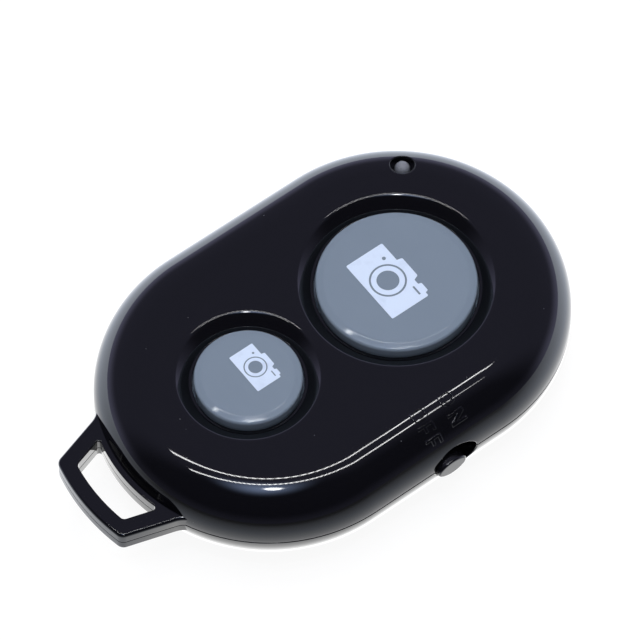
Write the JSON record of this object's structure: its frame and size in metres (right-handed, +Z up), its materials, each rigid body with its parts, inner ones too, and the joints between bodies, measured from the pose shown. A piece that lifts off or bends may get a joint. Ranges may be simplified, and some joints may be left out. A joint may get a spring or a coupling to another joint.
{
  "type": "camera shutter remote",
  "caption": "Pill-shaped handheld camera shutter remote with large and small round buttons, side power switch, status light, battery door and lanyard eye.",
  "frame": {"origin": "on the resting face, midway between the centres of the two rounded ends", "axes": "+Z up out of the button side, +Y towards the status light end, -Y towards the lanyard eye, +X towards the power switch"},
  "size_m": [0.0325, 0.0512, 0.0104],
  "materials": {
    "housing": "high gloss black ABS",
    "button_plastic": "satin blue-grey ABS",
    "knob_plastic": "glossy black moulding",
    "clear_plastic": "frosted clear acrylic",
    "screw_steel": "zinc plated",
    "cell_steel": "bright nickel plated",
    "board_laminate": "green solder mask",
    "contact_brass": "plated spring sheet",
    "dark_moulding": "moulded black",
    "pale_moulding": "moulded off-white"
  },
  "bodies": {
    "handset": {"top_shell": "housing", "bottom_shell": "housing", "case_screws": "screw_steel", "light_guide": "clear_plastic", "circuit_board": "board_laminate", "cell_can": "cell_steel", "cell_cap": "cell_steel", "cell_gasket": "dark_moulding", "negative_contact": "contact_brass", "positive_contact": "contact_brass", "large_tact_base": "dark_moulding", "large_tact_cover": "cell_steel", "small_tact_base": "dark_moulding", "small_tact_cover": "cell_steel", "slide_switch_frame": "cell_steel", "slide_switch_base": "dark_moulding", "radio_chip": "dark_moulding", "memory_chip": "dark_moulding", "crystal": "cell_steel", "status_lamp": "pale_moulding", "antenna": "contact_brass", "small_parts": "pale_moulding"},
    "large_press": {"large_button": "button_plastic"},
    "small_press": {"small_button": "button_plastic"},
    "large_plunger": {"large_tact_plunger": "pale_moulding"},
    "small_plunger": {"small_tact_plunger": "pale_moulding"},
    "power_slider": {"power_knob": "knob_plastic", "slide_switch_lever": "dark_moulding"},
    "door": {"battery_door": "housing"}
  },
  "joints": [
    {"name": "large_button_press", "type": "slide", "parent": "handset", "child": "large_press", "axis": [0, 0, -1], "range_m": [0, 0.0003], "stiffness_N_per_m": 3000},
    {"name": "small_button_press", "type": "slide", "parent": "handset", "child": "small_press", "axis": [0, 0, -1], "range_m": [0, 0.0003], "stiffness_N_per_m": 3000},
    {"name": "large_plunger_press", "type": "slide", "parent": "handset", "child": "large_plunger", "axis": [0, 0, -1], "range_m": [0, 0.0003]},
    {"name": "small_plunger_press", "type": "slide", "parent": "handset", "child": "small_plunger", "axis": [0, 0, -1], "range_m": [0, 0.0003]},
    {"name": "power_slide", "type": "slide", "parent": "handset", "child": "power_slider", "axis": [0, 1, 0], "range_m": [0, 0.0015]},
    {"name": "door_release", "type": "slide", "parent": "handset", "child": "door", "axis": [0, 0, -1], "range_m": [0, 0.008]}
  ],
  "couplings": [
    {"joint": "large_plunger_press", "follows": "large_button_press", "ratio": 1},
    {"joint": "small_plunger_press", "follows": "small_button_press", "ratio": 1}
  ]
}
